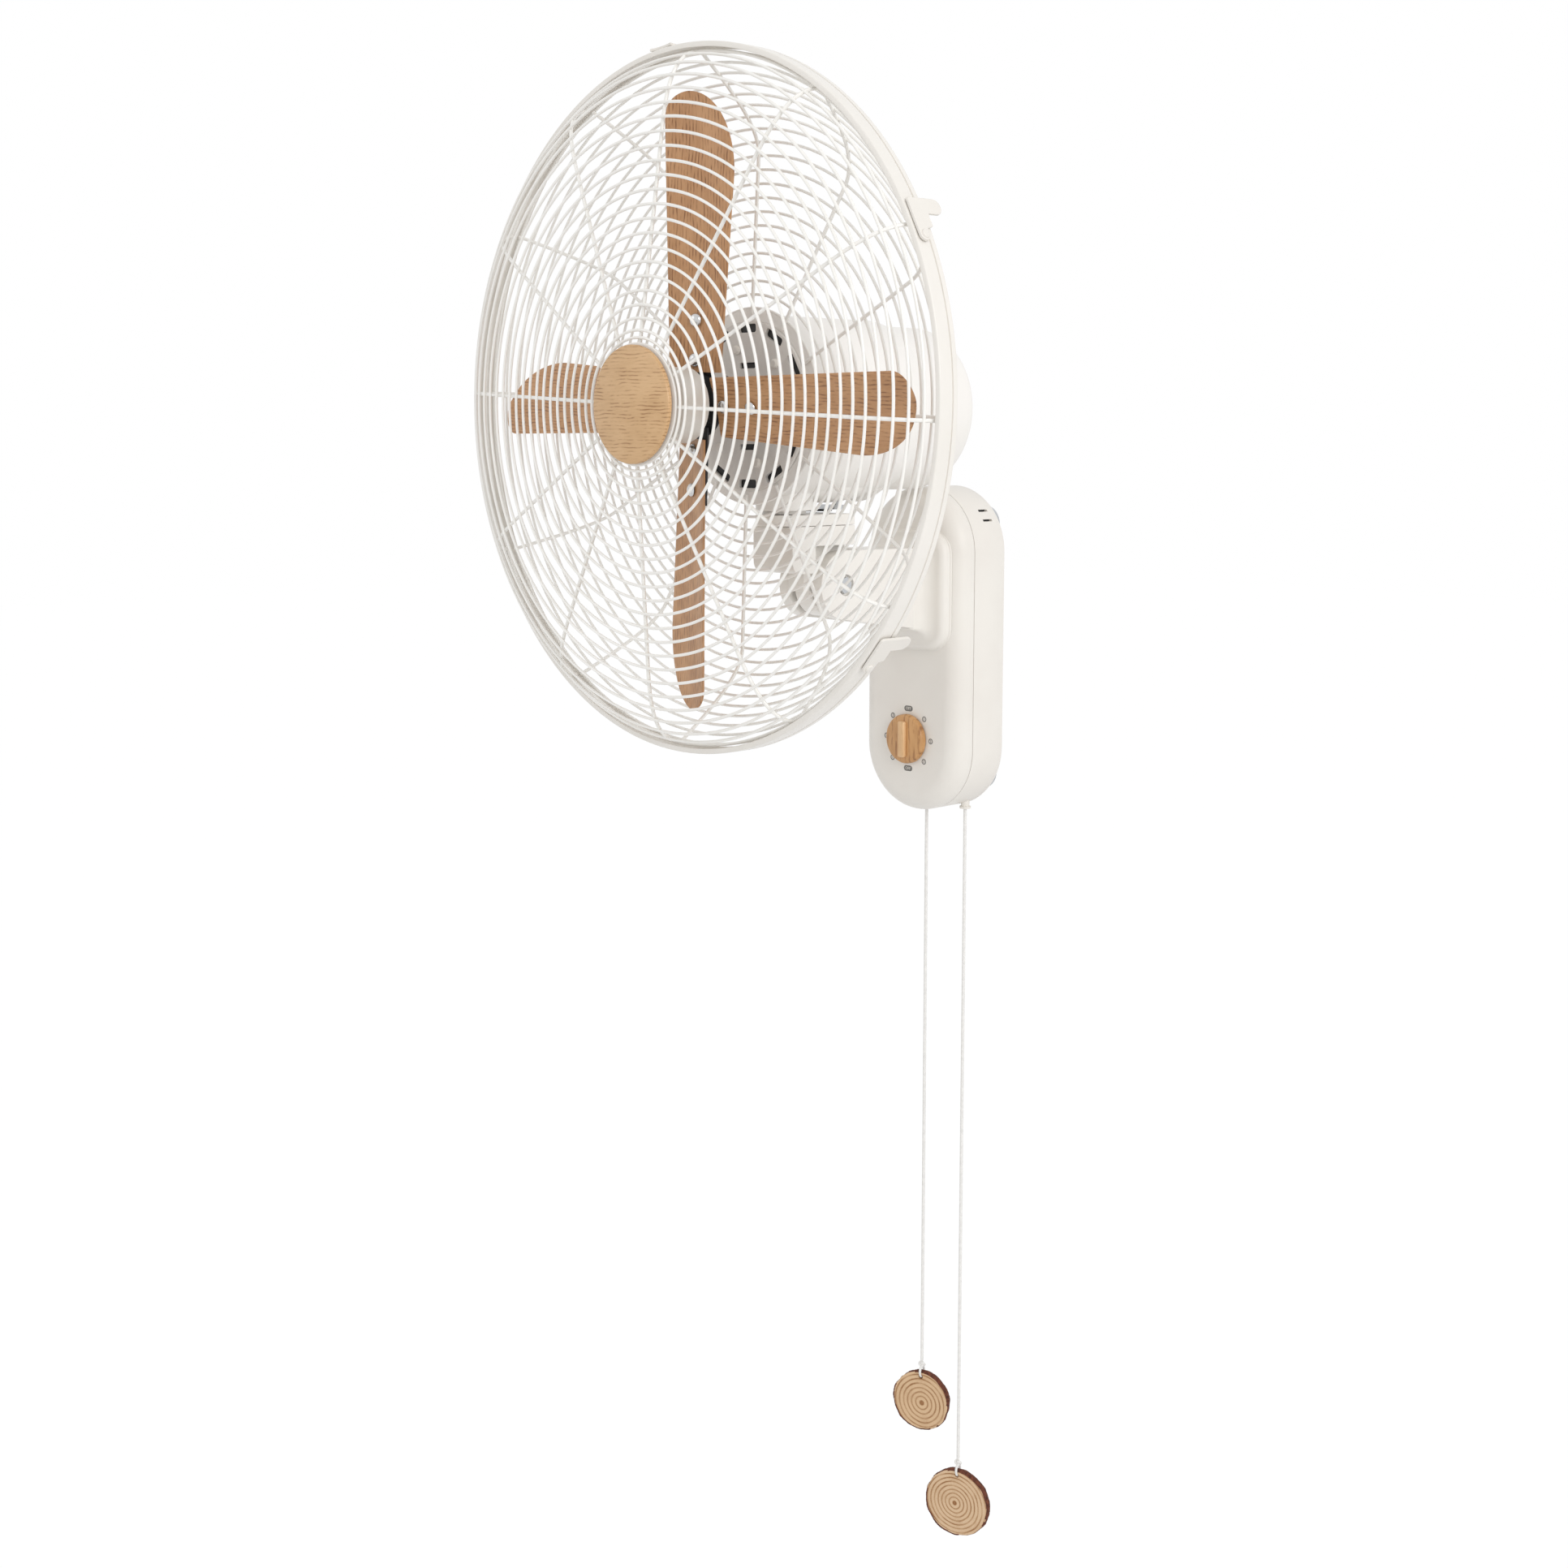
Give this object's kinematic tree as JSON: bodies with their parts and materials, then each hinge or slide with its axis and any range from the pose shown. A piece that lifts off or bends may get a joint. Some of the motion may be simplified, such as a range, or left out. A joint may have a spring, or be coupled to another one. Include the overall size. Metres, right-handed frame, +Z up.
{
  "type": "wall mounted fan",
  "caption": "Wall mounted fan with a round wire guard, wood-look blades, a hidden oscillating drive, a tilting arm, a wall box with a dial, and pull cords ending in wood slices.",
  "frame": {"origin": "middle of the back face of the wall plate, on the wall", "axes": "+Z up, +Y into the wall, the fan blows towards -Y, +X to the viewer's right"},
  "size_m": [0.464, 0.321, 1.1205],
  "materials": {
    "white_plastic": "satin moulded plastic",
    "white_paint": "satin powder coat",
    "pale_grey": "satin",
    "steel": "plated",
    "dark_steel": "dark, matt",
    "copper": "enamelled winding",
    "black_plastic": "matt",
    "oak": "clear satin lacquer",
    "blade_oak": "clear satin lacquer",
    "slice_wood": "sanded, bark left on",
    "braid": "white braided cord"
  },
  "bodies": {
    "wall_box": {"wall_plate": "steel", "rear_case": "white_plastic", "front_cover": "white_plastic", "dial_plate": "white_plastic", "support_arm": "white_plastic", "tilt_bolt": "steel", "tilt_nut": "steel", "arm_screw_left": "steel", "arm_screw_right": "steel", "rotary_switch": "black_plastic", "capacitor": "black_plastic", "terminal_block": "pale_grey", "mains_gland": "white_plastic", "pull_switch_left": "black_plastic", "pull_switch_right": "black_plastic", "cord_eyelet_left": "white_plastic", "cord_eyelet_right": "white_plastic", "tilt_washer_left": "steel", "tilt_washer_right": "steel"},
    "dial": {"control_knob": "oak", "knob_shaft": "steel"},
    "left_pull": {"pull_cord_left": "braid", "cord_knot_left": "braid", "wood_slice_left": "slice_wood"},
    "right_pull": {"pull_cord_right": "braid", "cord_knot_right": "braid", "wood_slice_right": "slice_wood"},
    "neck": {"neck_block": "white_plastic", "neck_cap": "white_plastic", "pivot_pin": "steel"},
    "head": {"motor_housing": "white_plastic", "motor_rear_cover": "white_plastic", "motor_front_plate": "pale_grey", "stator_core": "dark_steel", "winding_front": "copper", "winding_rear": "copper", "bearing_front": "steel", "bearing_rear": "steel", "rear_bracket": "pale_grey", "front_guard": "white_paint", "rear_guard": "white_paint", "guard_hoop": "white_paint", "hoop_joint": "white_plastic", "badge_plate": "white_plastic", "wood_badge": "oak"},
    "rotor": {"motor_shaft": "steel", "rotor_core": "dark_steel", "blade_bracket": "dark_steel", "blade_1": "blade_oak", "blade_2": "blade_oak", "blade_3": "blade_oak", "blade_4": "blade_oak", "spinner": "white_plastic"},
    "gear_stem": {"worm_wheel": "white_plastic"},
    "crank": {"crank_arm": "steel"},
    "link": {"link_bar": "dark_steel"},
    "upper_clip": {"guard_clip_upper": "white_plastic"},
    "lower_clip": {"guard_clip_lower": "white_plastic"}
  },
  "joints": [
    {"name": "dial_turn", "type": "hinge", "parent": "wall_box", "child": "dial", "pos_m": [0, -0.06, -0.0665], "axis": [0, 1, 0], "continuous": true},
    {"name": "left_cord_pull", "type": "slide", "parent": "wall_box", "child": "left_pull", "axis": [0, 0, -1], "range_m": [0, 0.014], "stiffness_N_per_m": 300, "springref_m": -0.004},
    {"name": "right_cord_pull", "type": "slide", "parent": "wall_box", "child": "right_pull", "axis": [0, 0, -1], "range_m": [0, 0.014], "stiffness_N_per_m": 300, "springref_m": -0.004},
    {"name": "head_tilt", "type": "hinge", "parent": "wall_box", "child": "neck", "pos_m": [0, -0.143, 0.0535], "axis": [1, 0, 0], "range_deg": [0, 25]},
    {"name": "head_swing", "type": "hinge", "parent": "neck", "child": "head", "pos_m": [0, -0.183, 0.104], "axis": [0, 0, 1], "range_deg": [-35, 35]},
    {"name": "rotor_spin", "type": "hinge", "parent": "head", "child": "rotor", "pos_m": [0, -0.27, 0.178], "axis": [0, 1, 0], "continuous": true},
    {"name": "crank_turn", "type": "hinge", "parent": "head", "child": "crank", "pos_m": [0.0018, -0.1329, 0.118], "axis": [0, 0, 1], "range_deg": [-49, 49]},
    {"name": "gear_stem_turn", "type": "hinge", "parent": "head", "child": "gear_stem", "pos_m": [0.0162, -0.112, 0.148], "axis": [0, 0, 1], "range_deg": [-92, 92]},
    {"name": "link_turn", "type": "hinge", "parent": "neck", "child": "link", "pos_m": [-0.0243, -0.1783, 0.105], "axis": [0, 0, 1], "range_deg": [-36, 36]},
    {"name": "upper_clip_turn", "type": "hinge", "parent": "head", "child": "upper_clip", "pos_m": [0.21438, -0.27, 0.27489], "axis": [0.891, 0, 0.454], "range_deg": [0, 75]},
    {"name": "lower_clip_turn", "type": "hinge", "parent": "head", "child": "lower_clip", "pos_m": [0.17014, -0.27, 0.01552], "axis": [0.7547, 0, -0.6561], "range_deg": [0, 75]}
  ],
  "couplings": [
    {"joint": "crank_turn", "follows": "head_swing", "ratio": -1.38},
    {"joint": "gear_stem_turn", "follows": "head_swing", "ratio": 2.5875},
    {"joint": "link_turn", "follows": "head_swing", "ratio": 1}
  ]
}
